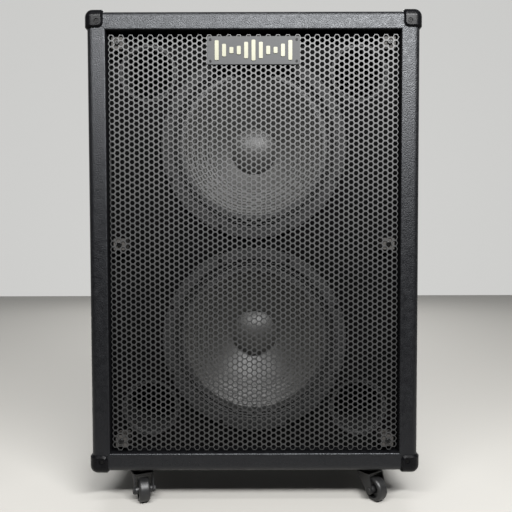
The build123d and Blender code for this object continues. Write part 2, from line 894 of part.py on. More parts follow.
for tag, height in woofer_heights.items():
    z = base + height

    basket_part = basket_for("basket_" + tag, z)
    export_step(basket_part, f"parts/basket_{tag}.step")

    gasket_part = gasket_for("gasket_" + tag, z)
    export_step(gasket_part, f"parts/gasket_{tag}.step")

    surround_part = turned("surround_" + tag, z, surround_outline())
    export_step(surround_part, f"parts/surround_{tag}.step")

    cone_part = turned("cone_" + tag, z, cone_outline())
    export_step(cone_part, f"parts/cone_{tag}.step")

    dust_cap_part = dust_cap_for("dust_cap_" + tag, z)
    export_step(dust_cap_part, f"parts/dust_cap_{tag}.step")

    spider_points = corrugated(
        coil_outer_radius + cone_travel_gap,
        spider_outer_radius,
        (spider_lip, spider_outer_radius - ledge_inner_radius),
        spider_y,
        spider_waves,
        spider_wave_height,
    )
    spider_part = turned("spider_" + tag, z, spider_points)
    export_step(spider_part, f"parts/spider_{tag}.step")

    coil_points = [
        (coil_inner_radius, neck_y - 2.4),
        (coil_outer_radius, neck_y - 2.4),
        (coil_outer_radius, top_plate_front - 4),
        (winding_outer_radius, top_plate_front - 4),
        (winding_outer_radius, top_plate_back + 4),
        (coil_outer_radius, top_plate_back + 4),
        (coil_outer_radius, top_plate_back + 6),
        (coil_inner_radius, top_plate_back + 6),
    ]
    coil_part = turned("voice_coil_" + tag, z, coil_points)
    export_step(coil_part, f"parts/voice_coil_{tag}.step")

with BuildPart() as woofer_bolts:
    with BuildSketch(facing_front(gasket_front)):
        with Locations(*woofer_places):
            with PolarLocations(bolt_circle_radius, bolt_count, start_angle=bolt_start_angle):
                Circle(bolt_head_radius)
                RegularPolygon(bolt_hex_radius, 6, mode=Mode.SUBTRACT)
    extrude(amount=bolt_head_height)
    with BuildSketch(facing_front(gasket_front)):
        with Locations(*woofer_places):
            with PolarLocations(bolt_circle_radius, bolt_count, start_angle=bolt_start_angle):
                Circle(bolt_head_radius)
    extrude(amount=bolt_head_height - bolt_hex_depth)
    with BuildSketch(facing_front(gasket_front)):
        with Locations(*woofer_places):
            with PolarLocations(bolt_circle_radius, bolt_count, start_angle=bolt_start_angle):
                Circle(bolt_radius)
    extrude(amount=-(baffle_back - gasket_front))
woofer_bolts.part.label = "woofer_bolts"
export_step(woofer_bolts.part, "parts/woofer_bolts.step")

with BuildPart() as magnet_top_plates:
    with BuildSketch(facing_front(top_plate_front)):
        with Locations(*woofer_places):
            Circle(plate_radius)
            Circle(plate_bore_radius, mode=Mode.SUBTRACT)
    extrude(amount=-(top_plate_back - top_plate_front))
magnet_top_plates.part.label = "magnet_top_plates"
export_step(magnet_top_plates.part, "parts/magnet_top_plates.step")

with BuildPart() as magnets:
    with BuildSketch(facing_front(top_plate_back)):
        with Locations(*woofer_places):
            Circle(magnet_radius)
            Circle(magnet_bore_radius, mode=Mode.SUBTRACT)
    extrude(amount=-(magnet_back - top_plate_back))
magnets.part.label = "magnets"
export_step(magnets.part, "parts/magnets.step")

with BuildPart() as back_plates:
    with BuildSketch(facing_front(magnet_back)):
        with Locations(*woofer_places):
            Circle(plate_radius)
    extrude(amount=-(back_plate_back - magnet_back))
    with BuildSketch(facing_front(magnet_back)):
        with Locations(*woofer_places):
            Circle(pole_radius)
    extrude(amount=magnet_back - top_plate_front)
    with BuildSketch(facing_front(top_plate_front)):
        with Locations(*woofer_places):
            Circle(pole_vent_radius)
    extrude(amount=-(back_plate_back - top_plate_front), mode=Mode.SUBTRACT)
back_plates.part.label = "back_plates"
export_step(back_plates.part, "parts/back_plates.step")

terminal_y = top_plate_front
with BuildPart() as woofer_terminals:
    with Locations(*[(terminal_x, terminal_y, z) for x, z in woofer_places]):
        Box(terminal_width, terminal_depth, terminal_height)
    for tag, height in woofer_heights.items():
        add(basket_for("basket", base + height), mode=Mode.SUBTRACT)
woofer_terminals.part.label = "woofer_terminals"
export_step(woofer_terminals.part, "parts/woofer_terminals.step")

# ==================== rear panel, jack plate, battens, brace ====================
jack_places = [(-jack_spacing / 2, jack_z), (jack_spacing / 2, jack_z)]

panel_screw_places = []
for side in (-1, 1):
    for share in (-0.9, -0.3, 0.3, 0.9):
        height = middle + share * (inner_top - inner_base) / 2
        panel_screw_places.append((side * (inner_side - panel_screw_inset), height))
    panel_screw_places.append((side * inner_side / 3, inner_top - panel_screw_inset))
    panel_screw_places.append((side * inner_side / 3, inner_base + panel_screw_inset))
plate_screw_places = []
for side in (-1, 1):
    for up in (-1, 1):
        plate_screw_places.append(
            (
                side * (jack_plate_width / 2 - jack_screw_inset),
                jack_z + up * (jack_plate_height / 2 - jack_screw_inset),
            )
        )
jack_face_y = rear_panel_back + jack_plate_thickness

with BuildPart() as rear_screws:
    with BuildSketch(facing_front(rear_panel_back)):
        with Locations(*panel_screw_places):
            Circle(panel_head_radius)
    extrude(amount=-panel_head_height)
    with BuildSketch(facing_front(rear_panel_back + panel_head_height)):
        with Locations(*panel_screw_places):
            cross(panel_head_radius)
    extrude(amount=panel_head_height / 2, mode=Mode.SUBTRACT)
    with BuildSketch(facing_front(rear_panel_back)):
        with Locations(*panel_screw_places):
            Circle(panel_shank_radius)
    extrude(amount=panel_shank_length)
    with BuildSketch(facing_front(jack_face_y)):
        with Locations(*plate_screw_places):
            Circle(small_head_radius)
    extrude(amount=-small_head_height)
    with BuildSketch(facing_front(jack_face_y + small_head_height)):
        with Locations(*plate_screw_places):
            cross(small_head_radius)
    extrude(amount=small_head_height / 2, mode=Mode.SUBTRACT)
    with BuildSketch(facing_front(jack_face_y)):
        with Locations(*plate_screw_places):
            Circle(small_shank_radius)
    extrude(amount=small_shank_length)
rear_screws.part.label = "rear_screws"
export_step(rear_screws.part, "parts/rear_screws.step")

with BuildPart() as rear_panel:
    with BuildSketch(facing_front(rear_panel_back)):
        with Locations((0, middle)):
            Rectangle(2 * inner_side, inner_top - inner_base)
        with Locations(*jack_places):
            Circle(jack_hole_radius, mode=Mode.SUBTRACT)
    extrude(amount=panel)
    add(rear_screws.part, mode=Mode.SUBTRACT)
    add(corner_screws.part, mode=Mode.SUBTRACT)
rear_panel.part.label = "rear_panel"
export_step(rear_panel.part, "parts/rear_panel.step")

with BuildPart() as jack_plate:
    with BuildSketch(facing_front(rear_panel_back)):
        with Locations((0, jack_z)):
            RectangleRounded(jack_plate_width, jack_plate_height, jack_plate_radius)
        with Locations(*jack_places):
            Circle(jack_neck_radius, mode=Mode.SUBTRACT)
    extrude(amount=-jack_plate_thickness)
    add(rear_screws.part, mode=Mode.SUBTRACT)
jack_plate.part.label = "jack_plate"
export_step(jack_plate.part, "parts/jack_plate.step")

jack_mouth = jack_face_y + jack_neck_proud
with BuildPart() as jack_sockets:
    with BuildSketch(facing_front(rear_panel_back)):
        with Locations(*jack_places):
            Circle(jack_body_radius)
    extrude(amount=jack_body_length)
    with BuildSketch(facing_front(rear_panel_back)):
        with Locations(*jack_places):
            Circle(jack_neck_radius)
    extrude(amount=rear_panel_back - jack_mouth)
    with BuildSketch(facing_front(jack_face_y)):
        with Locations(*jack_places):
            RegularPolygon(jack_nut_radius, 6)
    extrude(amount=-jack_nut_height)
    with BuildSketch(facing_front(jack_mouth)):
        with Locations(*jack_places):
            Circle(jack_bore_radius)
    extrude(amount=jack_bore_length, mode=Mode.SUBTRACT)
jack_sockets.part.label = "jack_sockets"
export_step(jack_sockets.part, "parts/jack_sockets.step")

# Battens behind the rear panel's edges; the brace's ends divide the ones at the sides.
batten_y = rear_panel_front - batten / 2
batten_x = inner_side - batten / 2
upper_batten_height = inner_top - batten - joint_gap - brace_height - brace / 2
lower_batten_height = brace_height - brace / 2 - inner_base - batten - joint_gap
with BuildPart() as rear_battens:
    with Locations((0, batten_y, inner_top - batten / 2), (0, batten_y, inner_base + batten / 2)):
        Box(2 * inner_side, batten, batten)
    for x in (-batten_x, batten_x):
        with Locations((x, batten_y, brace_height + brace / 2 + upper_batten_height / 2)):
            Box(batten, batten, upper_batten_height)
        with Locations((x, batten_y, brace_height - brace / 2 - lower_batten_height / 2)):
            Box(batten, batten, lower_batten_height)
    add(rear_screws.part, mode=Mode.SUBTRACT)
rear_battens.part.label = "rear_battens"
export_step(rear_battens.part, "parts/rear_battens.step")

brace_window_x = 150
brace_window_width = 230
brace_window_depth = 250
brace_window_radius = 30
with BuildPart() as centre_brace:
    with BuildSketch(Plane.XY.offset(brace_height - brace / 2)):
        with Locations((0, (baffle_back + rear_panel_front) / 2)):
            Rectangle(2 * inner_side, rear_panel_front - baffle_back)
            with Locations((-brace_window_x, 0), (brace_window_x, 0)):
                RectangleRounded(
                    brace_window_width,
                    brace_window_depth,
                    brace_window_radius,
                    mode=Mode.SUBTRACT,
                )
    extrude(amount=brace)
centre_brace.part.label = "centre_brace"
export_step(centre_brace.part, "parts/centre_brace.step")

# Fibre mats on the walls, clear of the brace, the handles, the battens and the jacks.
lining = 20
lining_gap = 4
handle_clearance = 60  # from a handle's middle to the mat above it
jack_clearance = 60  # from the jacks' middle to the mat below them
mat_front = baffle_back + 10
mat_back = rear_panel_front - batten - lining_gap
mat_depth = mat_back - mat_front
mat_y = (mat_front + mat_back) / 2
side_mat_x = inner_side - lining / 2
# The side mats: (bottom, top) below the brace and above the handles.
side_mats = (
    (inner_base + lining + lining_gap, brace_height - brace / 2 - lining_gap),
    (handle_z + handle_clearance, inner_top - lining - lining_gap),
)
# The rear mats: (bottom, top) below the jacks and above the brace.
rear_mats = (
    (inner_base + batten + lining_gap, jack_z - jack_clearance),
    (brace_height + brace / 2 + lining_gap, inner_top - batten - lining_gap),
)
with BuildPart() as damping_lining:
    for bottom, mat_top in side_mats:
        with Locations(
            (-side_mat_x, mat_y, (bottom + mat_top) / 2),
            (side_mat_x, mat_y, (bottom + mat_top) / 2),
        ):
            Box(lining, mat_depth, mat_top - bottom)
    with Locations((0, mat_y, inner_base + lining / 2), (0, mat_y, inner_top - lining / 2)):
        Box(2 * (inner_side - lining_gap), mat_depth, lining)
    for bottom, mat_top in rear_mats:
        with Locations((0, rear_panel_front - lining / 2, (bottom + mat_top) / 2)):
            Box(2 * (inner_side - batten - lining_gap), lining, mat_top - bottom)
damping_lining.part.label = "damping_lining"
export_step(damping_lining.part, "parts/damping_lining.step")

# ==================== internal wiring ====================
jack_inside = rear_panel_back - jack_body_length
terminal_back = terminal_y + terminal_depth / 2
lower_z = base + woofer_heights["lower"]
upper_z = base + woofer_heights["upper"]
cable_routes = (
    [
        (jack_places[0][0], jack_inside, jack_z),
        (jack_places[0][0], jack_inside - 45, jack_z),
        (30, 60, jack_z - 60),
        (terminal_x, 10, lower_z),
        (terminal_x, terminal_back, lower_z),
    ],
    [
        (jack_places[1][0], jack_inside, jack_z),
        (jack_places[1][0], jack_inside - 50, jack_z),
        (95, 75, brace_height),
        (112, 40, upper_z - 90),
        (terminal_x, 10, upper_z),
        (terminal_x, terminal_back, upper_z),
    ],
)
with BuildPart() as wiring:
    for route in cable_routes:
        with BuildLine() as cable_line:
            FilletPolyline(*route, radius=cable_bend)
        cable_start = Plane(origin=cable_line.line @ 0, z_dir=cable_line.line % 0)
        with BuildSketch(cable_start):
            Circle(cable_radius)
        sweep(path=cable_line.line)
wiring.part.label = "wiring"
export_step(wiring.part, "parts/wiring.step")

# ==================== caster forks, axles, wheels ====================
# Each is drawn at the origin with its wheel trailing towards -Y, then set at its own place.
leg_outer = fork_inner_width / 2 + fork_leg
fork_top = fork_crown_bottom + fork_crown_thickness
leg_root_length = fork_crown_length + fork_crown_radius / 2
with BuildPart() as fork:
    with BuildSketch(Plane.XY.offset(fork_crown_bottom)):
        Circle(fork_crown_radius)
        with Locations((0, fork_leg / 2 - fork_crown_length)):
            Rectangle(2 * leg_outer, fork_leg)
        make_hull()
    extrude(amount=fork_crown_thickness)
    fillet(fork.faces().sort_by(Axis.Z)[-1].edges(), radius=fork_crown_thickness / 2)
    for side in (-1, 1):
        with BuildSketch(Plane.YZ.offset(side * (leg_outer - fork_leg / 2))):
            with Locations((leg_root_length / 2 - fork_crown_length, fork_crown_bottom + fork_leg / 4)):
                Rectangle(leg_root_length, fork_leg / 2)
            with Locations((-fork_trail, wheel_radius)):
                Circle(fork_boss_radius)
            make_hull()
        extrude(amount=fork_leg / 2, both=True)
    with BuildSketch(Plane.XY.offset(fork_top)):
        Circle(race_disc_radius)
    extrude(amount=race_bottom - race_gap - fork_top)
    with BuildSketch(Plane.XY.offset(race_bottom)):
        Circle(kingpin_radius + shaft_clearance)
    extrude(amount=fork_crown_bottom - race_bottom, mode=Mode.SUBTRACT)
    with BuildSketch(Plane.YZ.offset(-leg_outer)):
        with Locations((-fork_trail, wheel_radius)):
            Circle(axle_radius)
    extrude(amount=2 * leg_outer, mode=Mode.SUBTRACT)

with BuildPart() as axle:
    with BuildSketch(Plane.YZ.offset(-leg_outer)):
        with Locations((-fork_trail, wheel_radius)):
            Circle(axle_radius)
    extrude(amount=2 * leg_outer)
    with BuildSketch(Plane.YZ.offset(leg_outer)):
        with Locations((-fork_trail, wheel_radius)):
            RegularPolygon(axle_nut_radius, 6)
    extrude(amount=axle_nut_height)
    with BuildSketch(Plane.YZ.offset(-leg_outer)):
        with Locations((-fork_trail, wheel_radius)):
            Circle(axle_head_radius)
    extrude(amount=-axle_head_height)
    fillet(axle.faces().sort_by(Axis.X)[0].edges(), radius=axle_head_height / 2)

# Half of the wheel's section, as (radius, distance from its middle): hub, dished web, rim, tread.
web_half = 4
rim_inner_radius = 16.5
rim_half = wheel_width / 2
tread_radius = 6  # rounding of the tread's edges
wheel_profile = (
    (axle_radius + shaft_clearance, hub_width / 2),
    (hub_radius, hub_width / 2),
    (hub_radius + 1, web_half),
    (rim_inner_radius, web_half),
    (rim_inner_radius + 1, rim_half),
    (wheel_radius - tread_radius, rim_half),
)
with BuildPart() as wheel:
    wheel_plane = Plane(origin=(0, -fork_trail, wheel_radius), x_dir=(0, 1, 0), z_dir=(0, 0, 1))
    with BuildSketch(wheel_plane):
        with BuildLine():
            near_side = Polyline(*wheel_profile)
            far_side = Polyline(*[(radius, -half) for radius, half in wheel_profile])
            tread_edges = (
                (wheel_radius, rim_half - tread_radius),
                (wheel_radius, tread_radius - rim_half),
            )
            RadiusArc(near_side @ 1, tread_edges[0], tread_radius)
            Line(*tread_edges)
            RadiusArc(tread_edges[1], far_side @ 1, tread_radius)
            Line(near_side @ 0, far_side @ 0)
        make_face()
    revolve(axis=Axis((0, -fork_trail, wheel_radius), (1, 0, 0)))

for corner, (x, y, angle) in casters.items():
    place = Location((x, y, 0), (0, 0, angle))

    with BuildPart() as caster_fork:
        with Locations(place):
            add(fork.part)
    caster_fork.part.label = "fork_" + corner
    export_step(caster_fork.part, f"parts/fork_{corner}.step")

    with BuildPart() as caster_axle:
        with Locations(place):
            add(axle.part)
    caster_axle.part.label = "axle_" + corner
    export_step(caster_axle.part, f"parts/axle_{corner}.step")

    with BuildPart() as caster_wheel:
        with Locations(place):
            add(wheel.part)
    caster_wheel.part.label = "wheel_" + corner
    export_step(caster_wheel.part, f"parts/wheel_{corner}.step")
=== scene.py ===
import json
import math

import bmesh
import bpy
from mathutils import Matrix, Vector


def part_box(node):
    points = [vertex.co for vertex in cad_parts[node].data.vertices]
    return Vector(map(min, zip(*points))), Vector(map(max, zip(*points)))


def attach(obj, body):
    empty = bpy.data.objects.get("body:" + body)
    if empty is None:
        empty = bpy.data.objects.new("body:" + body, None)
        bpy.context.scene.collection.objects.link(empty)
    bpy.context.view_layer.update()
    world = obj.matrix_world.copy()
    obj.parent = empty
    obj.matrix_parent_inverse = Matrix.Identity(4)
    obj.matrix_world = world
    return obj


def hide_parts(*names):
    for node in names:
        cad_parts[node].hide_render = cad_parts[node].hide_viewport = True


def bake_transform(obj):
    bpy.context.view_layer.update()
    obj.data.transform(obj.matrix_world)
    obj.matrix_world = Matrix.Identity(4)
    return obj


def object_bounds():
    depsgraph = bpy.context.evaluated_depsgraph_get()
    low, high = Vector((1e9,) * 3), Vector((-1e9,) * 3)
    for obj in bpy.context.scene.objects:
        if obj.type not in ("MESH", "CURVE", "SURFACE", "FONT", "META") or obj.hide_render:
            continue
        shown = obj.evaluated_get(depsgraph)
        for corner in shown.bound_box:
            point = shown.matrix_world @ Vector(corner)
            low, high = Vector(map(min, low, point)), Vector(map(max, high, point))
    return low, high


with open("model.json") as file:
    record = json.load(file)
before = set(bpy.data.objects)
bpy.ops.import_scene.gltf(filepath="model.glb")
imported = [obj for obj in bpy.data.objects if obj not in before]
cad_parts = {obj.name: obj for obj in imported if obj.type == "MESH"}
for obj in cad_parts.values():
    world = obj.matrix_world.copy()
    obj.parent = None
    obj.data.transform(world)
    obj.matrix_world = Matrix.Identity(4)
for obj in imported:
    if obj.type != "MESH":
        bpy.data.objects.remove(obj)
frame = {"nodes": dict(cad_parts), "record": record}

cad_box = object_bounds()
nodes = frame["nodes"]
scene = bpy.context.scene
MM = 0.001
FULL_TURN = 2 * math.pi

# The woofer's radii from its axis, and the plane of the surround's flat lips.
CONE_NECK = 39 * MM
CONE_RIM = 146 * MM
ROLLS_FROM, ROLLS_TO = 154.5 * MM, 170.5 * MM
SURROUND_LIP_Y = -183 * MM
SURROUND_SECTORS = 16
LATHE_SEGMENTS = 160


# ---------------------------------------------------------------- shader helpers
class Shader:
    """A Principled material with short calls for the nodes that its textures are made of."""

    def __init__(self, name, color, roughness, metallic=0.0, ior=1.5, specular=0.5):
        self.material = bpy.data.materials.new(name)
        self.material.use_nodes = True
        self.tree = self.material.node_tree
        self.bsdf = self.tree.nodes["Principled BSDF"]
        self.bsdf.inputs["Base Color"].default_value = (*color, 1)
        self.bsdf.inputs["Roughness"].default_value = roughness
        self.bsdf.inputs["Metallic"].default_value = metallic
        self.bsdf.inputs["IOR"].default_value = ior
        self.bsdf.inputs["Specular IOR Level"].default_value = specular
        self.place = self.tree.nodes.new("ShaderNodeTexCoord").outputs["Object"]

    def node(self, kind, **values):
        made = self.tree.nodes.new(kind)
        for key, value in values.items():
            setattr(made, key, value)
        return made

    def link(self, source, target):
        self.tree.links.new(source, target)

    def noise(self, scale, detail=4.0, roughness=0.6, place=None):
        made = self.node("ShaderNodeTexNoise")
        made.inputs["Scale"].default_value = scale
        made.inputs["Detail"].default_value = detail
        made.inputs["Roughness"].default_value = roughness
        self.link(place or self.place, made.inputs["Vector"])
        return made.outputs["Fac"]

    def cells(self, scale, feature="F1", smooth=0.0):
        made = self.node("ShaderNodeTexVoronoi", feature=feature)
        made.inputs["Scale"].default_value = scale
        if feature == "SMOOTH_F1":
            made.inputs["Smoothness"].default_value = smooth
        self.link(self.place, made.inputs["Vector"])
        return made.outputs["Distance"]

    def stretched(self, x, y, z):
        """Object coordinates scaled per axis, for brushed and woven looks."""
        made = self.node("ShaderNodeMapping")
        made.inputs["Scale"].default_value = (x, y, z)
        self.link(self.place, made.inputs["Vector"])
        return made.outputs["Vector"]

    def span(self, value, low, high, to_low=0.0, to_high=1.0):
        made = self.node("ShaderNodeMapRange")
        made.inputs["From Min"].default_value = low
        made.inputs["From Max"].default_value = high
        made.inputs["To Min"].default_value = to_low
        made.inputs["To Max"].default_value = to_high
        self.link(value, made.inputs["Value"])
        return made.outputs["Result"]

    def math(self, operation, first, second):
        made = self.node("ShaderNodeMath", operation=operation)
        for socket, value in zip(made.inputs, (first, second)):
            if isinstance(value, (int, float)):
                socket.default_value = value
            else:
                self.link(value, socket)
        return made.outputs["Value"]

    def tint(self, factor, first, second):
        """Base colour that goes from first to second with factor."""
        made = self.node("ShaderNodeMix", data_type="RGBA")
        self.link(factor, made.inputs["Factor"])
        colours = [socket for socket in made.inputs if socket.type == "RGBA"]
        for socket, value in zip(colours, (first, second)):
            if isinstance(value, tuple):
                socket.default_value = (*value, 1)
            else:
                self.link(value, socket)
        result = [socket for socket in made.outputs if socket.type == "RGBA"][0]
        self.link(result, self.bsdf.inputs["Base Color"])
        return result

    def rough(self, factor, low, high):
        self.link(self.span(factor, 0.0, 1.0, low, high), self.bsdf.inputs["Roughness"])

    def bump(self, *layers):
        """Each layer is (height, strength, depth in metres); they stack."""
        last = None
        for height, strength, depth in layers:
            made = self.node("ShaderNodeBump")
            made.inputs["Strength"].default_value = strength
            made.inputs["Distance"].default_value = depth
            self.link(height, made.inputs["Height"])
            if last is not None:
                self.link(last, made.inputs["Normal"])
            last = made.outputs["Normal"]
        self.link(last, self.bsdf.inputs["Normal"])


# ---------------------------------------------------------------- materials
def pebbled_vinyl():
    """Black covering with raised pebbles a couple of millimetres across, mitred at the front frame."""
    s = Shader("pebbled_vinyl", (0.004, 0.004, 0.005), 0.4, ior=1.45)
    s.bsdf.inputs["Specular Tint"].default_value = (0.93, 0.96, 1, 1)
    low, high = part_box("vinyl_covering")
    parts = s.node("ShaderNodeSeparateXYZ")
    s.link(s.place, parts.inputs["Vector"])
    from_side = s.math("SUBTRACT", (high.x - low.x) / 2, s.math("ABSOLUTE", parts.outputs["X"], 0))
    from_middle = s.math("ABSOLUTE", s.math("SUBTRACT", parts.outputs["Z"], (high.z + low.z) / 2), 0)
    from_end = s.math("SUBTRACT", (high.z - low.z) / 2, from_middle)
    off_mitre = s.math("ABSOLUTE", s.math("SUBTRACT", from_side, from_end), 0)
    on_front = s.math("LESS_THAN", parts.outputs["Y"], low.y + 6 * MM)
    near_corner = s.math("LESS_THAN", from_side, 45 * MM)
    line = s.span(off_mitre, 0.4 * MM, 1.1 * MM, 1, 0)
    seam = s.math("MULTIPLY", line, s.math("MULTIPLY", on_front, near_corner))
    warp = s.noise(70, 4)
    pebble = s.cells(430, "SMOOTH_F1", 0.35)
    crease = s.cells(430, "DISTANCE_TO_EDGE")
    grain = s.noise(2600, 2)
    # Pebble tops lighter and the creases between them darker: painted shade in the creases.
    pebbles_with_crease_shade = s.tint(s.span(pebble, 0.1, 0.75), (0.005, 0.005, 0.006), (0.002, 0.002, 0.0025))
    s.tint(seam, pebbles_with_crease_shade, (0.001, 0.001, 0.001))
    s.rough(s.span(warp, 0.35, 0.65), 0.36, 0.48)
    s.bump(
        (s.math("SUBTRACT", 1.0, pebble), 0.5, 0.0008),
        (crease, 0.3, 0.0004),
        (grain, 0.2, 0.00012),
        (s.math("SUBTRACT", 1.0, seam), 0.8, 0.0008),
    )
    return s.material


def glossy_plastic():
    s = Shader("corner_plastic", (0.003, 0.003, 0.0035), 0.25, specular=0.1)
    scuff = s.noise(90, 6, 0.7)
    s.rough(s.span(scuff, 0.35, 0.75), 0.22, 0.34)
    s.tint(s.span(scuff, 0.55, 0.8), (0.003, 0.003, 0.0035), (0.007, 0.007, 0.008))
    s.bump((s.noise(420, 3), 0.12, 0.0002), (scuff, 0.06, 0.0004))
    return s.material


def textured_plastic(name, color, low=0.38, high=0.55, grain=1500):
    """A moulding with a fine spark-eroded texture."""
    s = Shader(name, color, low)
    cloud = s.noise(30, 4)
    s.rough(cloud, low, high)
    lighter = tuple(c * 1.7 for c in color)
    s.tint(s.span(cloud, 0.45, 0.75), color, lighter)
    s.bump((s.noise(grain, 2), 0.35, 0.00015))
    return s.material


def painted_steel(name, color, low=0.35, high=0.5, ior=1.5):
    """Satin powder coat: fine orange peel, a little dust and wear."""
    s = Shader(name, color, low, ior=ior)
    peel = s.noise(900, 2, 0.5)
    dust = s.noise(14, 6, 0.65)
    s.rough(dust, low, high)
    dusty = tuple(c * 1.8 + 0.003 for c in color)
    s.tint(s.span(dust, 0.4, 0.8), color, dusty)
    s.bump((peel, 0.3, 0.0001))
    return s.material


def bare_metal(name, color, roughness, brushed=(1, 1, 1)):
    s = Shader(name, color, roughness, metallic=1.0)
    streak = s.noise(700, 3, 0.6, s.stretched(*brushed))
    blotch = s.noise(40, 4)
    s.rough(streak, roughness * 0.7, roughness * 1.4)
    darker = tuple(c * 0.72 for c in color)
    s.tint(s.span(blotch, 0.35, 0.75), color, darker)
    s.bump((streak, 0.12, 0.00008))
    return s.material


def ribbed_paper():
    """Pressed grey pulp with loose fibres."""
    s = Shader("cone_paper", (0.03, 0.03, 0.029), 0.5, ior=1.6)
    fibre = s.noise(900, 5, 0.75, s.stretched(1, 0.6, 1))
    blotch = s.noise(45, 5)
    s.tint(s.math("MULTIPLY", s.span(fibre, 0.3, 0.7), s.span(blotch, 0.2, 0.8, 0.5, 1.0)),
           (0.02, 0.0195, 0.0185), (0.058, 0.057, 0.0535))
    s.rough(fibre, 0.4, 0.56)
    s.bump((fibre, 0.35, 0.0002), (blotch, 0.12, 0.0006))
    return s.material


def doped_cloth():
    """Black coated cloth of the surround: a fine weave under a sticky, half-glossy dope."""
    s = Shader("surround_cloth", (0.03, 0.03, 0.03), 0.42)
    across = s.node("ShaderNodeTexWave", wave_type="BANDS", bands_direction="X")
    along = s.node("ShaderNodeTexWave", wave_type="BANDS", bands_direction="Z")
    for wave in (across, along):
        wave.inputs["Scale"].default_value = 420
        wave.inputs["Distortion"].default_value = 1.5
        s.link(s.place, wave.inputs["Vector"])
    weave = s.math("MAXIMUM", across.outputs["Fac"], along.outputs["Fac"])
    sticky = s.noise(120, 4)
    s.rough(sticky, 0.4, 0.62)
    s.tint(s.span(weave, 0.2, 1.0), (0.006, 0.006, 0.006), (0.018, 0.018, 0.0175))
    s.bump((weave, 0.35, 0.0002), (sticky, 0.15, 0.0005))
    return s.material


def woven(name, dark, light, scale):
    s = Shader(name, dark, 0.85, specular=0.2)
    fibre = s.noise(scale, 6, 0.8)
    tufts = s.cells(scale / 6, "SMOOTH_F1", 0.6)
    s.tint(fibre, dark, light)
    s.rough(fibre, 0.75, 0.95)
    s.bump((fibre, 0.6, 0.001), (tufts, 0.4, 0.002))
    return s.material


def plywood():
    """Birch ply with long grain, unfinished."""
    s = Shader("plywood", (0.6, 0.47, 0.32), 0.7)
    grain = s.noise(16, 8, 0.7, s.stretched(9, 9, 1.2))
    s.tint(s.span(grain, 0.3, 0.7), (0.52, 0.38, 0.24), (0.72, 0.6, 0.43))
    s.rough(grain, 0.6, 0.8)
    s.bump((grain, 0.3, 0.0004))
    return s.material


def black_board(name, black, dusty, specular):
    """Plywood rolled with matt black paint, with a little roller stipple and dust."""
    s = Shader(name, black, 0.8, specular=specular)
    stipple = s.noise(420, 3)
    dust = s.noise(9, 6, 0.7)
    s.tint(s.span(dust, 0.4, 0.8), black, dusty)
    s.rough(stipple, 0.6, 0.8)
    s.bump((stipple, 0.3, 0.0004))
    return s.material


def caster_rubber():
    """Hard grey tread, scuffed, with dirt picked up from floors."""
    s = Shader("wheel_rubber", (0.012, 0.0125, 0.014), 0.4)
    dirt = s.noise(160, 6, 0.75)
    s.tint(s.span(dirt, 0.4, 0.75), (0.005, 0.0052, 0.0058), (0.015, 0.0147, 0.0143))
    s.rough(dirt, 0.36, 0.56)
    s.bump((s.noise(700, 3), 0.25, 0.0003), (dirt, 0.1, 0.0006))
    return s.material


def ferrite():
    s = Shader("ferrite", (0.05, 0.05, 0.052), 0.6)
    grit = s.noise(1200, 4)
    s.tint(grit, (0.035, 0.035, 0.037), (0.09, 0.09, 0.09))
    s.rough(grit, 0.5, 0.75)
    s.bump((grit, 0.4, 0.0003))
    return s.material


def cream_plastic():
    s = Shader("badge_cream", (0.86, 0.84, 0.66), 0.35)
    cloud = s.noise(60, 4)
    s.tint(cloud, (0.2, 0.197, 0.135), (0.18, 0.177, 0.12))
    s.rough(cloud, 0.28, 0.45)
    s.bump((s.noise(900, 2), 0.1, 0.0001))
    return s.material


materials = {
    "vinyl": pebbled_vinyl(),
    "corner_plastic": glossy_plastic(),
    "grille_steel": painted_steel("grille_steel", (0.006, 0.006, 0.006), 0.5, 0.62, 1.75),
    "black_steel": painted_steel("black_steel", (0.004, 0.004, 0.0045), 0.38, 0.5),
    "badge_grey": painted_steel("badge_grey", (0.015, 0.016, 0.017), 0.56, 0.64),
    "badge_cream": cream_plastic(),
    "black_screw": painted_steel("black_screw", (0.003, 0.003, 0.003), 0.26, 0.36, 1.4),
    "dark_screw": painted_steel("dark_screw", (0.002, 0.002, 0.002), 0.4, 0.55, 1.25),
    "motor_steel": bare_metal("motor_steel", (0.55, 0.54, 0.5), 0.35, (1, 8, 1)),
    "jack_nickel": bare_metal("jack_nickel", (0.66, 0.64, 0.58), 0.2),
    "axle_steel": painted_steel("axle_steel", (0.004, 0.004, 0.004), 0.6, 0.7),
    "coil_metal": bare_metal("coil_metal", (0.7, 0.7, 0.7), 0.3),
    "ferrite": ferrite(),
    "plywood": plywood(),
    # Near-black, far darker than black paint: the baffle behind the grille carries painted shade.
    "black_board": black_board("black_board", (0.001, 0.001, 0.001), (0.003, 0.0029, 0.0027), 0.06),
    "lining": woven("lining", (0.3, 0.3, 0.28), (0.6, 0.6, 0.56), 420),
    "spider_cloth": woven("spider_cloth", (0.35, 0.24, 0.1), (0.55, 0.42, 0.22), 1400),
    "spacer_foam": textured_plastic("spacer_foam", (0.022, 0.02, 0.018), 0.7, 0.9, 1100),
    "port_plastic": textured_plastic("port_plastic", (0.004, 0.004, 0.004), 0.6, 0.75),
    "handle_plastic": textured_plastic("handle_plastic", (0.014, 0.014, 0.015)),
    "gasket_board": textured_plastic("gasket_board", (0.003, 0.003, 0.003), 0.65, 0.85, 900),
    "cable_sheath": textured_plastic("cable_sheath", (0.015, 0.015, 0.015), 0.4, 0.55),
    "cone_paper": ribbed_paper(),
    "surround_cloth": doped_cloth(),
    "wheel_rubber": caster_rubber(),
}

for entry in frame["record"]["subparts"]:
    if entry["node"] in nodes:
        mesh = nodes[entry["node"]].data
        mesh.materials.clear()
        mesh.materials.append(materials[entry["material_slot"]])
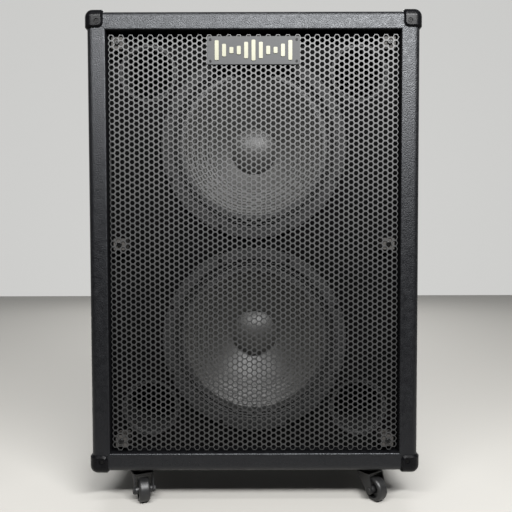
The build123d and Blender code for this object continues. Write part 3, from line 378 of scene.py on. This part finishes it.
# The rear panel has the same paint, lighter than the baffle behind the grille: the baffle's near-black copy
# is painted shade that darkens the grille's holes.
rear_board = black_board("rear_board", (0.012, 0.012, 0.012), (0.026, 0.025, 0.024), 0.35)
nodes["rear_panel"].data.materials[0] = rear_board


# ---------------------------------------------------------------- mesh helpers
def new_object(name, verts, faces, slot_name, smooth=False):
    mesh = bpy.data.meshes.new(name)
    mesh.from_pydata(verts, [], faces)
    mesh.materials.append(materials[slot_name])
    mesh.polygons.foreach_set("use_smooth", [smooth] * len(mesh.polygons))
    mesh.update()
    obj = bpy.data.objects.new(name, mesh)
    scene.collection.objects.link(obj)
    return obj


def lathe(name, profile, centre, slot_name, first=0, last=LATHE_SEGMENTS):
    """A closed (radius, y) profile turned round the axis along Y through centre, all the way
    or from one segment to another."""
    verts = []
    faces = []
    count = len(profile)
    whole = last - first == LATHE_SEGMENTS
    for turn in range(first, last if whole else last + 1):
        angle = FULL_TURN * turn / LATHE_SEGMENTS
        for radius, y in profile:
            verts.append((
                centre.x + radius * math.cos(angle),
                centre.y + y,
                centre.z + radius * math.sin(angle),
            ))
    for turn in range(last - first):
        ring = turn * count
        following = (turn + 1) % LATHE_SEGMENTS * count
        for i in range(count):
            j = (i + 1) % count
            faces.append((ring + i, ring + j, following + j, following + i))
    if not whole:
        faces.append(tuple(range(count)))
        faces.append(tuple(range(len(verts) - 1, len(verts) - count - 1, -1)))
    obj = new_object(name, verts, faces, slot_name, smooth=True)
    edit = bmesh.new()
    edit.from_mesh(obj.data)
    bmesh.ops.remove_doubles(edit, verts=edit.verts, dist=1e-6)
    bmesh.ops.recalc_face_normals(edit, faces=edit.faces)
    if not whole:
        for edge in edit.edges:
            edge.smooth = edge.calc_face_angle(0) < math.radians(50)
    edit.to_mesh(obj.data)
    edit.free()
    return obj


# ---------------------------------------------------------------- perforated grille
def hexagon(column_step, row_step, inset):
    """Corners of one cell's hexagon, flat at top and bottom, moved in from the cell's edges."""
    long_half = 2 * column_step / 3
    short_half = column_step / 3
    top = row_step / 2
    slant = math.hypot(top, long_half - short_half)
    edge_distance = long_half * top / slant - inset
    level = top - inset
    side = edge_distance * slant / top
    corner = (edge_distance * slant - level * (long_half - short_half)) / top
    return [(side, 0), (corner, level), (-corner, level), (-side, 0), (-corner, -level), (corner, -level)]


def perforated_grille():
    """The raw-cut sheet: hexagonal cells whose own zigzag is the sheet's edge."""
    columns, rows = 59, 71
    web = 2.65 * MM
    low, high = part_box("grille")
    column_step = (high.x - low.x) / (columns - 1 + 4 / 3)
    row_step = (high.z - low.z) / (rows + 0.5)
    outer = hexagon(column_step, row_step, 0)
    inner = hexagon(column_step, row_step, web / 2)
    corner_of = {}
    verts = []
    faces = []
    edge_users = {}

    def shared_corner(x, z):
        key = (round(x * 1e5), round(z * 1e5))
        if key not in corner_of:
            corner_of[key] = len(verts)
            verts.extend([(x, low.y, z), (x, high.y, z)])
        return corner_of[key]

    for column in range(columns):
        centre_x = low.x + 2 * column_step / 3 + column * column_step
        drop = row_step / 2 if column % 2 else 0
        for row in range(rows):
            centre_z = high.z - row_step / 2 - row * row_step - drop
            ring = [shared_corner(centre_x + x, centre_z + z) for x, z in outer]
            hole = len(verts)
            for x, z in inner:
                verts.extend([(centre_x + x, low.y, centre_z + z), (centre_x + x, high.y, centre_z + z)])
            for i in range(6):
                j = (i + 1) % 6
                a, b = ring[i], ring[j]
                c, d = hole + 2 * i, hole + 2 * j
                faces.append((a, b, d, c))
                faces.append((a + 1, c + 1, d + 1, b + 1))
                faces.append((c, d, d + 1, c + 1))
                edge = (min(a, b), max(a, b))
                edge_users.setdefault(edge, []).append((a, b))
    for users in edge_users.values():
        if len(users) == 1:
            a, b = users[0]
            faces.append((b, a, a + 1, b + 1))
    sheet = new_object("perforated_grille", verts, faces, "grille_steel")
    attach(sheet, "cabinet")
    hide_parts("grille")


perforated_grille()


# ---------------------------------------------------------------- woofers
def cone_profile(low, high, rib_count):
    """The cone's section from its neck to its rim: a slight curve, ribbed towards the rim."""
    neck_depth = high.y - low.y
    ribs_from = 0.42  # share of the way from neck to rim
    steps = 150
    front = []
    for step in range(steps + 1):
        share = step / steps
        radius = CONE_NECK + share * (CONE_RIM - CONE_NECK)
        depth = neck_depth * (1 - share) + 4.5 * MM * math.sin(math.pi * share)
        ribbing = max(0.0, min(1.0, (share - ribs_from) / 0.12))
        rib = 0.4 * MM * math.sin((share - ribs_from) / 0.58 * rib_count * FULL_TURN) * ribbing
        front.append((radius, depth + rib))
    return front


def woofer(tag):
    body = "cone_assembly_" + tag
    low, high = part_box("cone_" + tag)
    centre = Vector(((low.x + high.x) / 2, low.y, (low.z + high.z) / 2))
    thickness = 1.3 * MM
    rim_out = (high.x - low.x) / 2
    front = cone_profile(low, high, 10)
    front[-1] = (CONE_RIM, 0.1 * MM)
    profile = front + [
        (rim_out, 0.1 * MM),
        (rim_out, thickness),
        (CONE_RIM + 0.5 * MM, thickness),
    ]
    profile += [(radius, min(y + thickness, high.y - low.y)) for radius, y in reversed(front[:-1])]
    cone = lathe("paper_cone_" + tag, profile, centre, "cone_paper")
    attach(cone, body)
    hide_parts("cone_" + tag)

    surround_low, surround_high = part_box("surround_" + tag)
    outer_radius = (surround_high.x - surround_low.x) / 2
    lip_y = SURROUND_LIP_Y - centre.y
    sheet = []
    steps = 96
    for step in range(steps + 1):
        share = step / steps
        radius = CONE_RIM + share * (outer_radius - CONE_RIM)
        rolling = (radius - ROLLS_FROM) / (ROLLS_TO - ROLLS_FROM)
        height = 0.0
        if 0 < rolling < 1:
            height = 2.0 * MM * math.sin(rolling * 3 * FULL_TURN)
        sheet.append((radius, lip_y - height))
    skin = 0.7 * MM
    profile = sheet + [(radius, y + skin) for radius, y in reversed(sheet)]
    # The cloth surround is built as separate sectors round the axis, each an object of its own.
    per_sector = LATHE_SEGMENTS // SURROUND_SECTORS
    for sector in range(SURROUND_SECTORS):
        name = f"cloth_surround_{tag}_{sector + 1:02d}"
        first = sector * per_sector
        piece = lathe(name, profile, centre, "surround_cloth", first, first + per_sector)
        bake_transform(piece)
        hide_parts("surround_" + tag)


for tag in ("upper", "lower"):
    woofer(tag)


# ---------------------------------------------------------------- floor, light, camera
def floor_and_light():
    lowest = cad_box[0].z
    front = cad_box[0].y
    pale_floor, dark_cloth = (0.37, 0.36, 0.338), (0.05, 0.05, 0.048)
    reach = 12.0
    mesh = bpy.data.meshes.new("floor")
    mesh.from_pydata(
        [(-reach, -reach, lowest), (reach, -reach, lowest), (reach, reach, lowest), (-reach, reach, lowest)],
        [],
        [(0, 1, 2, 3)],
    )
    floor = bpy.data.objects.new("floor", mesh)
    scene.collection.objects.link(floor)
    pale = Shader("floor", pale_floor, 0.6)
    parts = pale.node("ShaderNodeSeparateXYZ")
    pale.link(pale.place, parts.inputs["Vector"])
    # It darkens in front, as under a black cloth, so that little light comes up from it.
    pale.tint(pale.span(parts.outputs["Y"], front - 0.1, front - 0.4), pale_floor, dark_cloth)
    mesh.materials.append(pale.material)

    world = bpy.data.worlds.new("studio")
    world.use_nodes = True
    world.node_tree.nodes["Background"].inputs["Color"].default_value = (0.97, 0.98, 1.0, 1)
    world.node_tree.nodes["Background"].inputs["Strength"].default_value = 0.04
    scene.world = world

    for name, place, size, power in (
        ("key_left", (-0.6, front - 1.5, 1.86), (1.2, 0.1), 44),
        ("key_right", (0.66, front - 1.5, 1.86), (1.3, 0.1), 92),
        ("near", (0.05, front - 0.95, 2.45), (1.3, 0.12), 22),
        ("rear", (0, front + 3.1, 2.1), (2.4, 1.2), 80),
    ):
        light = bpy.data.lights.new(name, "AREA")
        light.shape = "RECTANGLE"
        light.size, light.size_y = size
        light.energy = power
        lamp = bpy.data.objects.new(name, light)
        lamp.location = place
        lamp.visible_camera = False
        aim = Vector((0, front, 0.5)) - Vector(place)
        lamp.rotation_euler = aim.to_track_quat("-Z", "Y").to_euler()
        scene.collection.objects.link(lamp)

    # A pale wall, far enough back that the cabinet can be looked at from behind.
    wall = bpy.data.meshes.new("backdrop")
    wall_y = cad_box[1].y + 3.6
    wall.from_pydata(
        [(-reach, wall_y, lowest), (reach, wall_y, lowest), (reach, wall_y, 6), (-reach, wall_y, 6)],
        [],
        [(0, 1, 2, 3)],
    )
    backdrop = bpy.data.objects.new("backdrop", wall)
    scene.collection.objects.link(backdrop)
    plaster = Shader("backdrop", (0.12, 0.12, 0.118), 0.8)
    plaster.bsdf.inputs["Emission Color"].default_value = (1, 1, 0.98, 1)
    plaster.bsdf.inputs["Emission Strength"].default_value = 0.56
    wall.materials.append(plaster.material)


def photo_camera():
    data = bpy.data.cameras.new("camera")
    data.sensor_width = 36
    data.lens = 36 * 513 / 512
    camera = bpy.data.objects.new("camera", data)
    vinyl_low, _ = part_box("vinyl_covering")
    camera.location = (0.004, vinyl_low.y - 1.055, 0.5584)
    tilt = Matrix.Rotation(math.radians(90 - 1.84), 4, "X")
    roll = Matrix.Rotation(math.radians(-0.15), 4, "Z")
    camera.rotation_euler = (tilt @ roll).to_euler()
    scene.collection.objects.link(camera)
    scene.camera = camera


floor_and_light()
photo_camera()
scene.view_settings.view_transform = "Standard"
